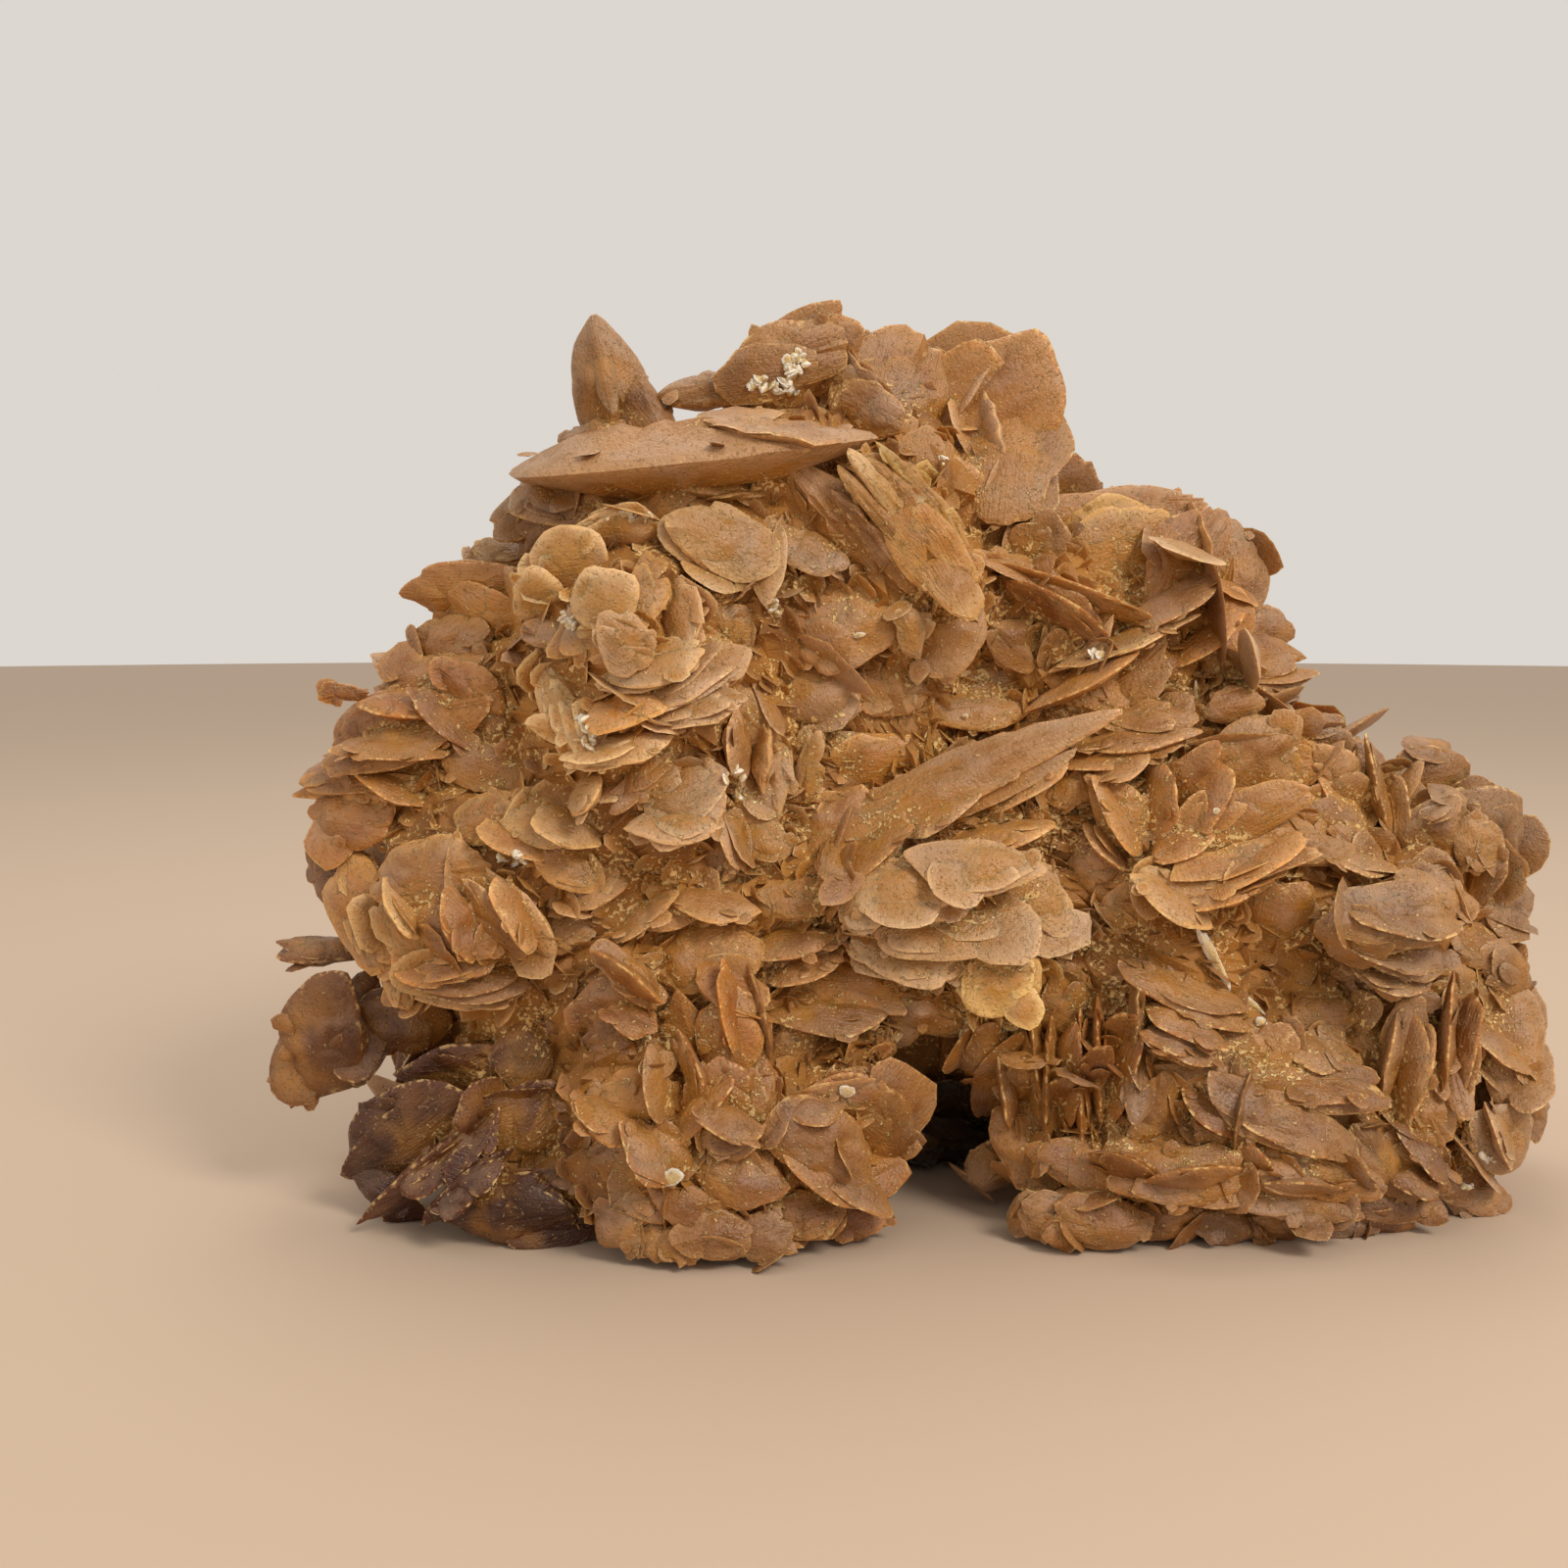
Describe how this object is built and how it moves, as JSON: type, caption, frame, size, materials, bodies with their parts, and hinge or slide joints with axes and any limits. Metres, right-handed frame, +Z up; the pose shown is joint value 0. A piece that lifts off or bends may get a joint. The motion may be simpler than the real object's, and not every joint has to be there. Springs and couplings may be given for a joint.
{
  "type": "gypsum sand rose",
  "caption": "Natural cluster of flattened, lens-shaped gypsum crystal blades grown into each other, standing on worn undersides with an arch between its feet.",
  "frame": {"origin": "on the standing plane, under the middle of the bounding box", "axes": "+Z up from the worn undersides, +X along the longest side, to the right seen from the front, -Y towards the front with the arch"},
  "size_m": [0.192, 0.1023, 0.1322],
  "materials": {
    "gypsum": "matt to waxy, honey tan with amber and dark brown zones"
  },
  "bodies": {
    "root": {"sand_rose": "gypsum"}
  },
  "joints": []
}
